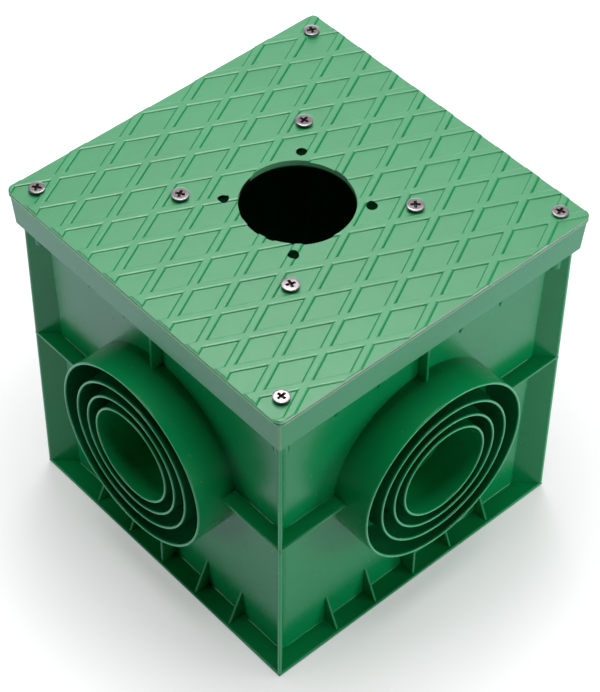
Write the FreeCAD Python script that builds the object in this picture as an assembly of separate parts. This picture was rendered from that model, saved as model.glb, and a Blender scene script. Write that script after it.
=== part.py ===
# Garden tap box: a square moulded chamber with stepped pipe sockets on its four sides,
# a cover frame on its upper flange, and a lattice lid plate that carries a tap column.
# Frame: +Z up, origin at the centre of the base, sides square to X and Y. Millimetres.
import FreeCAD, Part
import math
import os

# Chamber, overall
BODY_HALF = 116.25
BODY_HEIGHT = 227.0
FLANGE_REACH = 13.25
PANEL_DRAFT_DEG = 1.24
PANEL_CORNER_R = 4.0
PANEL_WALL = 2.5
FLOOR_WALL = 2.5

# Chamber flanges, mid-height rib and corner fins
FLANGE_THICKNESS = 2.5
MID_RIB_THICKNESS = 2.5
MID_RIB_TOP = 127.6
FIN_THICKNESS = 2.5

# Chamber gussets and the upright rib over and under each socket
GUSSET_PITCH = 33.0
GUSSETS_EACH_SIDE = 2
GUSSET_HEIGHT = 24.5
GUSSET_THICKNESS = 1.8
GUSSET_SETBACK = 1.8
UPRIGHT_THICKNESS = 2.0

# Pipe sockets, by the outside diameter of the pipe that each one takes
PIPE_DIAMETERS = (125.0, 100.0, 80.0, 63.0)
PIPE_CLEARANCE = 0.1
SOCKET_WALL = 1.8
SOCKET_AXIS_HEIGHT = 123.5
SOCKET_PROUD = 17.85
KNOCK_OUT_THICKNESS = 3.0

# Cover frame
FRAME_HEIGHT = 20.0
FRAME_SKIRT_DROP = 4.1
FRAME_FOOT_REACH = 3.35
FRAME_LEAN = 1.4
FRAME_CORNER_R = 1.2
FRAME_WALL = 2.2
FRAME_SEAT = 2.5
FRAME_OPENING_INSET = 18.25
FRAME_FLANGE_CLEARANCE = 0.6
FRAME_SLIT = 0.6
FRAME_WEB_THICKNESS = 1.8
FRAME_WEB_DROP = 3.0

# Lid plate and its raised lattice
LID_OVERHANG = 1.5
LID_THICKNESS = 4.0
LID_CORNER_R = 5.0
LATTICE_PITCH_X = 24.5
LATTICE_PITCH_Y = 49.0
LATTICE_SHIFT_Y = 5.4
LATTICE_BAND = 5.0
LATTICE_DEPTH = 1.2
LATTICE_WALL_RUN = 0.45
CENTRE_HOLE_R = 35.25
TAP_HOLE_OFFSET = 31.0
TAP_HOLE_R = 3.5

# Backing plate under the lid
BACKING_HALF = 64.0
BACKING_THICKNESS = 3.0
BACKING_CORNER_R = 8.0
BACKING_HOLE_MARGIN = 2.25
BACKING_LIP_WIDTH = 2.5
BACKING_LIP_HEIGHT = 7.0
BACKING_BOSS_R = 5.5
BACKING_BOSS_HEIGHT = 9.0

# Screws and the holes that take them
CORNER_SCREW_INSET = 7.25
INNER_SCREW_OFFSET = 49.0
SCREW_R = 2.4
SCREW_SEAT_R = 3.4
CORNER_HEAD_R = 5.1
INNER_HEAD_R = 5.5
SCREW_HEAD_PROUD = 1.9
SCREW_HEAD_EDGE = 0.8
CROSS_REACH = 3.0
CROSS_WIDTH = 1.3
CROSS_DEPTH = 1.5
CORNER_SCREW_TURNS = (20.0, 65.0, 38.0, 5.0)
INNER_SCREW_TURNS = (50.0, 12.0, 33.0, 71.0)
SCREW_HOLE_CLEARANCE = 0.35
PILOT_CLEARANCE = 0.1
CORNER_SCREW_LENGTH = 38.0
INNER_SCREW_LENGTH = 13.0
CORNER_BOSS_R = 4.6
CORNER_BOSS_DEPTH = 16.5
FRAME_POST_R = 5.0

# Half widths that follow from the chamber's
PANEL_BASE_HALF = BODY_HALF - FLANGE_REACH
SOCKET_RIM = BODY_HALF + SOCKET_PROUD
FRAME_FOOT_HALF = BODY_HALF + FRAME_FOOT_REACH
FRAME_TOP_HALF = FRAME_FOOT_HALF + FRAME_LEAN
FRAME_OPENING_HALF = BODY_HALF - FRAME_OPENING_INSET
LID_HALF = FRAME_TOP_HALF + LID_OVERHANG
CORNER_SCREW_OFFSET = BODY_HALF - CORNER_SCREW_INSET

# Heights that follow from the values above
LID_BOTTOM = BODY_HEIGHT + FRAME_HEIGHT
LID_TOP = LID_BOTTOM + LID_THICKNESS
RECESS_FLOOR = LID_TOP - LATTICE_DEPTH
HEAD_TOP = LID_TOP + SCREW_HEAD_PROUD
BACKING_BOTTOM = LID_BOTTOM - BACKING_THICKNESS
SKIRT_BOTTOM = BODY_HEIGHT - FRAME_SKIRT_DROP
SLOPE = math.tan(math.radians(PANEL_DRAFT_DEG))

# How far a cutting shape runs past the face that it opens
PAST = 1.0

Z_AXIS = FreeCAD.Vector(0, 0, 1)
ORIGIN = FreeCAD.Vector(0, 0, 0)


def point(x, y, z):
    """Return the point (x, y, z)."""
    return FreeCAD.Vector(x, y, z)


def polygon(points):
    """Return the closed wire through the points."""
    return Part.makePolygon(list(points) + [points[0]])


def rounded_square(half, radius, z):
    """Return a square wire of the half width, with its four corners rounded, at height z."""
    edges = []
    bend = radius * (1 - math.sqrt(0.5))
    for quarter in range(4):
        start = point(half, radius - half, z)
        end = point(half, half - radius, z)
        middle = point(half - bend, half - bend, z)
        corner_end = point(half - radius, half, z)
        side = Part.makeLine(start, end)
        corner = Part.Arc(end, middle, corner_end).toShape()
        for edge in (side, corner):
            edge.rotate(ORIGIN, Z_AXIS, 90 * quarter)
            edges.append(edge)
    return Part.Wire(edges)


def square_block(half, radius, low, high):
    """Return an upright block with rounded corners from height low to height high."""
    face = Part.Face(rounded_square(half, radius, low))
    return face.extrude(point(0, 0, high - low))


def frustum(low_corners, high_corners):
    """Return the flat-faced solid between two outlines, each counted anticlockwise from above."""
    faces = [Part.Face(polygon(low_corners[::-1])), Part.Face(polygon(high_corners))]
    for index, low in enumerate(low_corners):
        last_low = low_corners[index - 1]
        last_high = high_corners[index - 1]
        faces.append(Part.Face(polygon([last_low, low, high_corners[index], last_high])))
    return Part.makeSolid(Part.makeShell(faces))


def square_corners(half, z):
    """Return the four corners of a square at height z."""
    return [point(x * half, y * half, z) for x, y in ((1, 1), (-1, 1), (-1, -1), (1, -1))]


def tapered_block(low_half, high_half, radius, low, high):
    """Return a block with rounded corners whose half width changes with height."""
    block = frustum(square_corners(low_half, low), square_corners(high_half, high))
    upright = [edge for edge in block.Edges if edge.BoundBox.ZLength > (high - low) / 2]
    return block.makeFillet(radius, upright)


def post(x, y, radius, low, high):
    """Return an upright cylinder at (x, y)."""
    return Part.makeCylinder(radius, high - low, point(x, y, low))


def on_four_sides(shapes):
    """Return copies of the shapes turned to the four sides."""
    copies = []
    for side in range(4):
        for shape in shapes:
            copy = shape.copy()
            copy.rotate(ORIGIN, Z_AXIS, 90 * side)
            copies.append(copy)
    return copies


def at_four_corners(offset):
    """Return the four points of a square pattern, as (x, y) pairs."""
    return [(x * offset, y * offset) for x, y in ((1, 1), (-1, 1), (-1, -1), (1, -1))]


def panel_half(z):
    """Return the half width over the panels at height z."""
    return PANEL_BASE_HALF + SLOPE * z


def chamber_block():
    """Return the panels and floor as a solid tapered block."""
    return tapered_block(panel_half(0), panel_half(BODY_HEIGHT), PANEL_CORNER_R, 0, BODY_HEIGHT)


def chamber_cavity():
    """Return the inside of the chamber, open at the top."""
    top = BODY_HEIGHT + PAST
    radius = PANEL_CORNER_R - PANEL_WALL
    return tapered_block(
        panel_half(FLOOR_WALL) - PANEL_WALL, panel_half(top) - PANEL_WALL, radius, FLOOR_WALL, top
    )


def chamber_plates():
    """Return the base flange, mid-height rib and upper flange as plain squares."""
    side = 2 * BODY_HALF
    spans = (
        (0, FLANGE_THICKNESS),
        (MID_RIB_TOP - MID_RIB_THICKNESS, MID_RIB_TOP),
        (BODY_HEIGHT - FLANGE_THICKNESS, BODY_HEIGHT),
    )
    plates = []
    for low, high in spans:
        plates.append(Part.makeBox(side, side, high - low, point(-BODY_HALF, -BODY_HALF, low)))
    return plates


def corner_fin():
    """Return the upright fin on one corner, in the corner's diagonal plane."""
    reach = BODY_HALF * math.sqrt(2)
    root = PANEL_BASE_HALF
    bar = Part.makeBox(reach - root, FIN_THICKNESS, BODY_HEIGHT, point(root, -FIN_THICKNESS / 2, 0))
    bar.rotate(ORIGIN, Z_AXIS, 45)
    envelope = Part.makeBox(2 * BODY_HALF, 2 * BODY_HALF, BODY_HEIGHT, point(-BODY_HALF, -BODY_HALF, 0))
    return bar.common(envelope)


def gusset(y, flange_z, direction):
    """Return one triangular gusset on the +X side.

    flange_z is the flange face that it stands on, and direction is 1 upwards or -1 downwards.
    """
    foot = BODY_HALF - GUSSET_SETBACK
    root = PANEL_BASE_HALF - PANEL_WALL / 2
    tip_z = flange_z + direction * GUSSET_HEIGHT
    buried_z = flange_z - direction * FLANGE_THICKNESS / 2
    low_y = y - GUSSET_THICKNESS / 2
    outline = (
        point(root, low_y, buried_z),
        point(foot, low_y, buried_z),
        point(foot, low_y, flange_z),
        point(panel_half(tip_z), low_y, tip_z),
        point(root, low_y, tip_z),
    )
    return Part.Face(polygon(outline)).extrude(point(0, GUSSET_THICKNESS, 0))


def side_gussets():
    """Return the gussets of the +X side, on the base flange and under the upper flange."""
    pieces = []
    for step in range(1, GUSSETS_EACH_SIDE + 1):
        for y in (-step * GUSSET_PITCH, step * GUSSET_PITCH):
            pieces.append(gusset(y, FLANGE_THICKNESS, 1))
            pieces.append(gusset(y, BODY_HEIGHT - FLANGE_THICKNESS, -1))
    return pieces


def side_upright():
    """Return the upright rib in the middle of the +X side, from flange to flange."""
    root = PANEL_BASE_HALF - PANEL_WALL / 2
    depth = BODY_HALF - GUSSET_SETBACK - root
    return Part.makeBox(depth, UPRIGHT_THICKNESS, BODY_HEIGHT, point(root, -UPRIGHT_THICKNESS / 2, 0))


def along_x(radius, start, end):
    """Return a cylinder on the socket axis of the +X side."""
    return Part.makeCylinder(radius, end - start, point(start, 0, SOCKET_AXIS_HEIGHT), point(1, 0, 0))


def socket_radii(pipe):
    """Return the bore radius and outer radius of the socket for a pipe diameter."""
    bore = pipe / 2 + PIPE_CLEARANCE
    return bore, bore + SOCKET_WALL


def side_sockets():
    """Return the concentric sockets of the +X side, running into the chamber."""
    root = PANEL_BASE_HALF - 4 * PANEL_WALL
    rings = []
    for pipe in PIPE_DIAMETERS:
        bore, outer = socket_radii(pipe)
        rings.append(along_x(outer, root, SOCKET_RIM).cut(along_x(bore, root, SOCKET_RIM)))
    return rings


def knock_out_x():
    """Return how far out the flat end wall of an innermost socket stands."""
    return panel_half(SOCKET_AXIS_HEIGHT - min(PIPE_DIAMETERS) / 2 - PIPE_CLEARANCE)


def innermost_bore():
    """Return the bore of the innermost socket of the +X side, cut right through the panel."""
    return along_x(socket_radii(min(PIPE_DIAMETERS))[0], PANEL_BASE_HALF / 2, SOCKET_RIM)


def knock_out():
    """Return the flat wall, to be cut out on site, that closes the innermost socket."""
    outer = socket_radii(min(PIPE_DIAMETERS))[0] + SOCKET_WALL / 2
    return along_x(outer, knock_out_x() - KNOCK_OUT_THICKNESS, knock_out_x())


def side_socket_clearance():
    """Return the cylinder that no flange, rib or gusset of the +X side enters."""
    largest = max(PIPE_DIAMETERS)
    return along_x(socket_radii(largest)[1] - SOCKET_WALL / 2, PANEL_BASE_HALF / 2, SOCKET_RIM)


def chamber_body():
    """Return the chamber: panels, floor, flanges, ribs, fins, sockets and screw bosses."""
    trim = chamber_plates()
    trim += on_four_sides([corner_fin(), side_upright()] + side_gussets())
    bosses = []
    pilots = []
    boss_low = BODY_HEIGHT - FLANGE_THICKNESS - CORNER_BOSS_DEPTH
    for x, y in at_four_corners(CORNER_SCREW_OFFSET):
        bosses.append(post(x, y, CORNER_BOSS_R, boss_low, BODY_HEIGHT))
        pilots.append(post(x, y, SCREW_R + PILOT_CLEARANCE, boss_low, BODY_HEIGHT + PAST))
    ribs = trim[0].multiFuse(trim[1:] + bosses)
    ribs = ribs.cut(Part.makeCompound(on_four_sides([side_socket_clearance()])))
    solid = chamber_block().multiFuse([ribs] + on_four_sides(side_sockets()))
    cuts = [chamber_cavity()] + pilots + on_four_sides([innermost_bore()])
    solid = solid.cut(Part.makeCompound(cuts))
    return solid.multiFuse(on_four_sides([knock_out()])).removeSplitter()


def frame_web(y):
    """Return one web across the frame's channel on the +X side."""
    low = BODY_HEIGHT
    high = LID_BOTTOM - FRAME_WEB_DROP
    run = FRAME_FOOT_HALF - FRAME_WALL / 2 - FRAME_OPENING_HALF - FRAME_WALL / 2
    corner = point(FRAME_OPENING_HALF + FRAME_WALL / 2, y - FRAME_WEB_THICKNESS / 2, low)
    return Part.makeBox(run, FRAME_WEB_THICKNESS, high - low, corner)


def cover_frame():
    """Return the frame: skirt, seat on the upper flange, inner wall, webs and corner posts."""
    wall_top = LID_BOTTOM - FRAME_SLIT
    seat_top = BODY_HEIGHT + FRAME_SEAT
    outside = tapered_block(FRAME_FOOT_HALF, FRAME_TOP_HALF, FRAME_CORNER_R, SKIRT_BOTTOM, wall_top)
    rise = (FRAME_TOP_HALF - FRAME_FOOT_HALF) / (wall_top - SKIRT_BOTTOM)
    channel_low = FRAME_FOOT_HALF + rise * (seat_top - SKIRT_BOTTOM) - FRAME_WALL
    channel_high = FRAME_TOP_HALF - FRAME_WALL
    channel = frustum(square_corners(channel_low, seat_top), square_corners(channel_high, wall_top))
    rebate_half = BODY_HALF + FRAME_FLANGE_CLEARANCE
    rebate = frustum(square_corners(rebate_half, SKIRT_BOTTOM), square_corners(rebate_half, BODY_HEIGHT))
    inner_half = FRAME_OPENING_HALF + FRAME_WALL
    inner = square_block(inner_half, PANEL_CORNER_R, BODY_HEIGHT, LID_BOTTOM)
    opening = square_block(FRAME_OPENING_HALF, PANEL_CORNER_R, BODY_HEIGHT, LID_BOTTOM)
    webs = []
    for step in range(-GUSSETS_EACH_SIDE, GUSSETS_EACH_SIDE + 1):
        webs.append(frame_web(step * GUSSET_PITCH))
    posts = []
    holes = []
    hole_r = SCREW_R + SCREW_HOLE_CLEARANCE
    for x, y in at_four_corners(CORNER_SCREW_OFFSET):
        posts.append(post(x, y, FRAME_POST_R, BODY_HEIGHT, LID_BOTTOM))
        holes.append(post(x, y, hole_r, BODY_HEIGHT, LID_BOTTOM))
    shell = outside.cut(channel).cut(rebate)
    frame = shell.multiFuse([inner] + posts + on_four_sides(webs))
    return frame.cut(Part.makeCompound([opening] + holes)).removeSplitter()


def diamond(x, y, inset, z):
    """Return the corners of one lattice opening, shrunk by inset on every side."""
    half_x = LATTICE_PITCH_X / 2
    half_y = LATTICE_PITCH_Y / 2
    reach = half_x * half_y / math.hypot(half_x, half_y)
    share = 1 - inset / reach
    corners = ((half_x, 0), (0, half_y), (-half_x, 0), (0, -half_y))
    return [point(x + share * dx, y + share * dy, z) for dx, dy in corners]


def lattice_recesses():
    """Return the diamond recesses that leave the raised bands standing."""
    band_inset = LATTICE_BAND / 2
    past_inset = band_inset - LATTICE_WALL_RUN * PAST / LATTICE_DEPTH
    columns = int(LID_HALF / LATTICE_PITCH_X) + 2
    rows = int(LID_HALF / LATTICE_PITCH_Y) + 2
    recesses = []
    for column in range(-2 * columns, 2 * columns + 1):
        for row in range(-2 * rows, 2 * rows + 1):
            x = column * LATTICE_PITCH_X / 2
            y = LATTICE_SHIFT_Y + row * LATTICE_PITCH_Y / 2
            near = abs(x) < LID_HALF + LATTICE_PITCH_X / 2 and abs(y) < LID_HALF + LATTICE_PITCH_Y / 2
            if (column + row) % 2 or not near:
                continue
            top = diamond(x, y, past_inset, LID_TOP + PAST)
            bottom = diamond(x, y, band_inset + LATTICE_WALL_RUN, RECESS_FLOOR)
            recesses.append(frustum(bottom, top))
    return recesses


def lid_plate():
    """Return the lid plate with its lattice, centre hole, tap holes and screw holes."""
    plate = square_block(LID_HALF, LID_CORNER_R, LID_BOTTOM, LID_TOP)
    low = LID_BOTTOM - PAST
    high = LID_TOP + PAST
    holes = [post(0, 0, CENTRE_HOLE_R, low, high)]
    for x, y in at_four_corners(TAP_HOLE_OFFSET):
        holes.append(post(x, y, TAP_HOLE_R, low, high))
    screw_places = at_four_corners(CORNER_SCREW_OFFSET) + at_four_corners(INNER_SCREW_OFFSET)
    for x, y in screw_places:
        holes.append(post(x, y, SCREW_R + SCREW_HOLE_CLEARANCE, low, high))
    plate = plate.cut(Part.makeCompound(lattice_recesses()))
    return plate.cut(Part.makeCompound(holes))


def backing_plate():
    """Return the stiffening plate under the lid, with a lip and four screw bosses."""
    lip_bottom = BACKING_BOTTOM - BACKING_LIP_HEIGHT
    boss_bottom = BACKING_BOTTOM - BACKING_BOSS_HEIGHT
    block = square_block(BACKING_HALF, BACKING_CORNER_R, lip_bottom, LID_BOTTOM)
    inner_r = BACKING_CORNER_R - BACKING_LIP_WIDTH
    tray = square_block(BACKING_HALF - BACKING_LIP_WIDTH, inner_r, lip_bottom, BACKING_BOTTOM)
    plate = block.cut(tray)
    bosses = []
    holes = [post(0, 0, CENTRE_HOLE_R + BACKING_HOLE_MARGIN, lip_bottom, LID_BOTTOM)]
    for x, y in at_four_corners(INNER_SCREW_OFFSET):
        bosses.append(post(x, y, BACKING_BOSS_R, boss_bottom, LID_BOTTOM))
        holes.append(post(x, y, SCREW_R + PILOT_CLEARANCE, boss_bottom, LID_BOTTOM))
    for x, y in at_four_corners(TAP_HOLE_OFFSET):
        holes.append(post(x, y, TAP_HOLE_R, lip_bottom, LID_BOTTOM))
    return plate.multiFuse(bosses).cut(Part.makeCompound(holes)).removeSplitter()


def screw(x, y, seat, length, head_r, turn):
    """Return one flat-head screw with a cross recess, its cone seated at height seat."""
    edge = HEAD_TOP - SCREW_HEAD_EDGE
    shank = post(0, 0, SCREW_R, seat - length, seat)
    cone = Part.makeCone(SCREW_SEAT_R, head_r, edge - seat, point(0, 0, seat))
    head = post(0, 0, head_r, edge, HEAD_TOP)
    body = shank.multiFuse([cone, head])
    slots = []
    for angle in (turn, turn + 90):
        slot = Part.makeBox(
            2 * CROSS_REACH,
            CROSS_WIDTH,
            CROSS_DEPTH + PAST,
            point(-CROSS_REACH, -CROSS_WIDTH / 2, HEAD_TOP - CROSS_DEPTH),
        )
        slot.rotate(ORIGIN, Z_AXIS, angle)
        slots.append(slot)
    body = body.cut(slots[0].fuse(slots[1]))
    body.translate(point(x, y, 0))
    return body


def corner_screws():
    """Return the four corner screws, seated on the bands, down to the bosses of the chamber."""
    turned = zip(at_four_corners(CORNER_SCREW_OFFSET), CORNER_SCREW_TURNS)
    return [screw(x, y, LID_TOP, CORNER_SCREW_LENGTH, CORNER_HEAD_R, turn) for (x, y), turn in turned]


def inner_screws():
    """Return the four inner screws, seated in recesses, down to the bosses of the backing plate."""
    turned = zip(at_four_corners(INNER_SCREW_OFFSET), INNER_SCREW_TURNS)
    return [screw(x, y, RECESS_FLOOR, INNER_SCREW_LENGTH, INNER_HEAD_R, turn) for (x, y), turn in turned]


def main():
    """Build every piece and write each to its own STEP file."""
    os.makedirs("parts", exist_ok=True)
    pieces = {
        "chamber_body": chamber_body(),
        "cover_frame": cover_frame(),
        "lid_plate": lid_plate(),
        "backing_plate": backing_plate(),
        "corner_screws": Part.makeCompound(corner_screws()),
        "inner_screws": Part.makeCompound(inner_screws()),
    }
    for name, shape in pieces.items():
        print(name, "solids", len(shape.Solids), "valid", shape.isValid(), "volume", round(shape.Volume))
        shape.exportStep(os.path.join("parts", name + ".step"))


main()
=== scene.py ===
"""Garden tap box: the visual model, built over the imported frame.

The box is a square moulded chamber with stepped pipe sockets, a cover frame and a screwed
lattice lid. Every length is in metres unless its name ends in _mm or _px.
"""

import logging
import math
from dataclasses import dataclass
from enum import Enum
from typing import Callable, Optional, Sequence

import bmesh
import bpy
from bmesh.types import BMEdge, BMesh, BMFace, BMVert
from mathutils import Matrix, Vector


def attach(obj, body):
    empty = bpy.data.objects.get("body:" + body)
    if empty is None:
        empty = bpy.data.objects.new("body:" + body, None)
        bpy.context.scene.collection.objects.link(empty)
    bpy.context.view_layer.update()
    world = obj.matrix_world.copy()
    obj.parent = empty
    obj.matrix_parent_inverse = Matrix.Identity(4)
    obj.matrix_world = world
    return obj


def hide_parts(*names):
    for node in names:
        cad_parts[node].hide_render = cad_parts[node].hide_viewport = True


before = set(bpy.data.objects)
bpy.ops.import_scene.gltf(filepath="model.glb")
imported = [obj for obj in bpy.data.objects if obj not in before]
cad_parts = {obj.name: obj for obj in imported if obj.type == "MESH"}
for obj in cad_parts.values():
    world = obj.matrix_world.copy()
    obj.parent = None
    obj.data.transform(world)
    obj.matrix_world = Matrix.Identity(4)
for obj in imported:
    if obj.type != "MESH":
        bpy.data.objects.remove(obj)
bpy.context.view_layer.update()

LOG = logging.getLogger("garden_tap_box")
MM = 0.001
QUARTER = math.pi / 2
SHARP = math.radians(25)
TINY = 1e-5
UNIT = (0.0, 1.0)

Point = Sequence[float]
Range = tuple[float, float]
Place = tuple[float, float, float]
Colour = tuple[float, float, float]
Socket = bpy.types.NodeSocket

# The share of a normal or an edge along an axis: under LITTLE counts as none, over MOSTLY as all.
LITTLE = 0.1
MOSTLY = 0.9

# Sizes that several pieces share
CHAMBER_TOP = 227.0 * MM
FRAME_TOP = 247.0 * MM
LID_TOP = 251.0 * MM
RIB_PITCH = 33.0 * MM
CORNER_SCREWS = 109.0 * MM
INNER_SCREWS = 49.0 * MM


class Slot(Enum):
    """The record's material slots."""

    CHAMBER = "chamber_green"
    FRAME = "frame_green"
    LID = "lid_green"
    BACKING = "backing_green"
    SCREW = "screw_zinc"


class Mark(Enum):
    """The numbers on faces that the finishes read."""

    # Painted shade on the green plastic; real brown grime in the screws' cross recess.
    GRIME_AND_SHADE = "grime"
    # Painted highlight.
    LIGHT = "light"
    # Painted highlight, paler and greyer.
    PALE = "pale"
    # Painted glow.
    GLOW = "glow"


class Axis(Enum):
    """Unit vectors of the frame."""

    X = Vector((1.0, 0.0, 0.0))
    Y = Vector((0.0, 1.0, 0.0))
    Z = Vector((0.0, 0.0, 1.0))


class Carving(Enum):
    """Which part of a mesh carving leaves, seen from the mesh that carves it."""

    OUTSIDE = "DIFFERENCE"
    INSIDE = "INTERSECT"


class Operation(Enum):
    """How a finish makes one value of two."""

    PRODUCT = "MULTIPLY"
    LARGER = "MAXIMUM"


# Mesh tools


def fold_in(target: BMesh, part: BMesh) -> None:
    """Move a part's faces into a target mesh and free the part.

    Args:
        target: the mesh that grows.
        part: the mesh that is used up.
    """
    holder = bpy.data.meshes.new("holder")
    part.to_mesh(holder)
    part.free()
    target.from_mesh(holder)
    bpy.data.meshes.remove(holder)


def copy_of(part: BMesh, matrix: Matrix) -> BMesh:
    """Copy a mesh to another place.

    Args:
        part: the mesh to copy.
        matrix: where the copy goes; it doesn't mirror.

    Returns:
        The new mesh.
    """
    twin = part.copy()
    bmesh.ops.transform(twin, matrix=matrix, verts=twin.verts[:])
    return twin


def on_four_sides(target: BMesh, part: BMesh) -> None:
    """Fold a part of the +X side into a target, once for each side, and free it.

    Args:
        target: the mesh that grows.
        part: the mesh that is used up.
    """
    for side in range(4):
        fold_in(target, copy_of(part, Matrix.Rotation(side * QUARTER, 4, "Z")))
    part.free()


def square_places(offset: float) -> list[tuple[float, float]]:
    """Return the corners of a square round the Z axis, from -X -Y."""
    return [(x, y) for x in (-offset, offset) for y in (-offset, offset)]


def on_four_corners(target: BMesh, part: BMesh, offset: float) -> None:
    """Fold a part that stands on the Z axis into a target at the corners of a square, and free it.

    Args:
        target: the mesh that grows.
        part: the mesh that is used up.
        offset: half the square's side.
    """
    for x, y in square_places(offset):
        fold_in(target, copy_of(part, Matrix.Translation((x, y, 0))))
    part.free()


def edge_angle(edge: BMEdge) -> float:
    """Return the angle between an edge's two faces, or 0 where it hasn't two."""
    return edge.calc_face_angle(0.0) if len(edge.link_faces) == 2 else 0.0


def mark(part: BMesh, name: Mark, value: float, chosen: Callable[[BMFace], bool]) -> None:
    """Write a number on some faces, for the finish to read.

    Args:
        part: the mesh to mark.
        name: which mark it is.
        value: the number, from 0 to 1.
        chosen: tells which faces get it.
    """
    layers = part.faces.layers.float
    layer = layers.get(name.value) or layers.new(name.value)
    for face in part.faces:
        if chosen(face):
            face[layer] = value


def round_edges(part: BMesh, radius: float, chosen: Callable[[BMEdge], bool], segments: int = 2) -> None:
    """Round sharp edges, with smooth shading on the new strips only.

    Args:
        part: the mesh to change.
        radius: the width of the rounding on each face.
        chosen: tells which of the sharp edges are rounded.
        segments: strips across the rounding.
    """
    made = bmesh.ops.bevel(
        part,
        geom=[e for e in part.edges if edge_angle(e) > SHARP and chosen(e)],
        offset=radius,
        offset_type="OFFSET",
        affect="EDGES",
        segments=segments,
        profile=0.5,
        material=-1,
        clamp_overlap=True,
    )
    strips = set(made["faces"])
    for face in strips:
        face.smooth = True
        for edge in face.edges:
            if any(other not in strips for other in edge.link_faces):
                edge.smooth = False


def box(low: Point, high: Point) -> BMesh:
    """Make a closed box.

    Args:
        low: its lowest corner.
        high: its highest corner.

    Returns:
        The new mesh.
    """
    part = bmesh.new()
    size = Vector(high) - Vector(low)
    place = Matrix.Translation((Vector(high) + Vector(low)) / 2)
    bmesh.ops.create_cube(part, size=1.0, matrix=place @ Matrix.Diagonal((*size, 1.0)))
    return part


def extruded(part: BMesh) -> list[BMVert]:
    """Extrude all faces of a sheet and return the corners of the new end, to be moved."""
    swept = bmesh.ops.extrude_face_region(part, geom=part.faces[:])
    return [item for item in swept["geom"] if isinstance(item, BMVert)]


def prism(outline: Sequence[Point], run: Point) -> BMesh:
    """Make the closed solid that an outline sweeps along a straight run.

    Args:
        outline: the corners of one end, in order.
        run: the way from one end to the other.

    Returns:
        The new mesh, with outward faces.
    """
    part = bmesh.new()
    part.faces.new([part.verts.new(corner) for corner in outline])
    bmesh.ops.translate(part, vec=run, verts=extruded(part))
    bmesh.ops.recalc_face_normals(part, faces=part.faces[:])
    return part


def square_ring(outer: float, inner: float, low: float, high: float) -> BMesh:
    """Make an upright square tube, centred on the Z axis.

    Args:
        outer: half the width outside.
        inner: half the width inside.
        low: the height of its bottom.
        high: the height of its top.

    Returns:
        The new mesh, with outward faces.
    """
    part = bmesh.new()
    place = Matrix.Translation((0, 0, low))
    bmesh.ops.create_grid(part, x_segments=1, y_segments=1, size=outer, matrix=place)
    middle = part.faces[:]
    bmesh.ops.inset_region(
        part, faces=middle, thickness=outer - inner, use_boundary=True, use_even_offset=True
    )
    bmesh.ops.delete(part, geom=middle, context="FACES_ONLY")
    bmesh.ops.translate(part, vec=(0, 0, high - low), verts=extruded(part))
    bmesh.ops.recalc_face_normals(part, faces=part.faces[:])
    return part


def lathe(outline: Sequence[tuple[float, float]], steps: int) -> BMesh:
    """Make the solid that a closed outline sweeps when it turns round the Z axis.

    Args:
        outline: its corners, as (radius, height) pairs in order.
        steps: flats round the full turn.

    Returns:
        The new mesh, smooth shaded, with outward faces.
    """
    part = bmesh.new()
    verts = [part.verts.new((radius, 0.0, height)) for radius, height in outline]
    edges = []
    for index, vert in enumerate(verts):
        after = verts[(index + 1) % len(verts)]
        on_axis = vert.co.x < TINY and after.co.x < TINY
        if not on_axis:
            edges.append(part.edges.new((vert, after)))
    bmesh.ops.spin(
        part,
        geom=verts + edges,
        cent=(0, 0, 0),
        axis=Axis.Z.value,
        angle=2 * math.pi,
        steps=steps,
        use_merge=True,
    )
    bmesh.ops.remove_doubles(part, verts=part.verts[:], dist=TINY / 10)
    bmesh.ops.recalc_face_normals(part, faces=part.faces[:])
    for face in part.faces:
        face.smooth = True
    for edge in part.edges:
        edge.smooth = edge_angle(edge) < SHARP
    return part


def tube(radius: float, bore: float, low: float, high: float, steps: int = 32) -> BMesh:
    """Return a round tube that stands on the Z axis between two heights."""
    return lathe(((radius, low), (radius, high), (bore, high), (bore, low)), steps)


def slice_at(part: BMesh, at: Point, normal: Point, clear: bool = False) -> list[BMEdge]:
    """Cut a mesh along a plane.

    Args:
        part: the mesh to cut.
        at: a point on the plane.
        normal: the way that the plane faces.
        clear: whether what lies on that side goes.

    Returns:
        The edges of the cut.
    """
    cut = bmesh.ops.bisect_plane(
        part,
        geom=part.verts[:] + part.edges[:] + part.faces[:],
        dist=TINY / 100,
        plane_co=at,
        plane_no=normal,
        clear_outer=clear,
    )
    return [item for item in cut["geom_cut"] if isinstance(item, BMEdge)]


def half_at(corner: Vector) -> float:
    """Return how far a point stands from the Z axis, square to the sides."""
    return max(abs(corner.x), abs(corner.y))


def lies_at(edge: BMEdge, half: float) -> bool:
    """Tell whether both ends of an edge stand at a half width."""
    return all(abs(half_at(vert.co) - half) < 2 * TINY for vert in edge.verts)


def is_upright(edge: BMEdge) -> bool:
    """Tell whether an edge runs mostly up."""
    run = edge.verts[1].co - edge.verts[0].co
    return abs(run.z) > MOSTLY * run.length


def is_level(edge: BMEdge) -> bool:
    """Tell whether an edge doesn't run mostly up."""
    return not is_upright(edge)


def outer_corners(walls: BMesh) -> set[BMEdge]:
    """Return the four upright edges that stand farthest out."""
    upright = [e for e in walls.edges if is_upright(e)]
    return set(sorted(upright, key=lambda e: -sum(half_at(vert.co) for vert in e.verts))[:4])


def lean_out(vert: BMVert, by: float) -> None:
    """Move a corner away from the Z axis along both X and Y."""
    for axis in (0, 1):
        vert.co[axis] += math.copysign(by, vert.co[axis])


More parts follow.
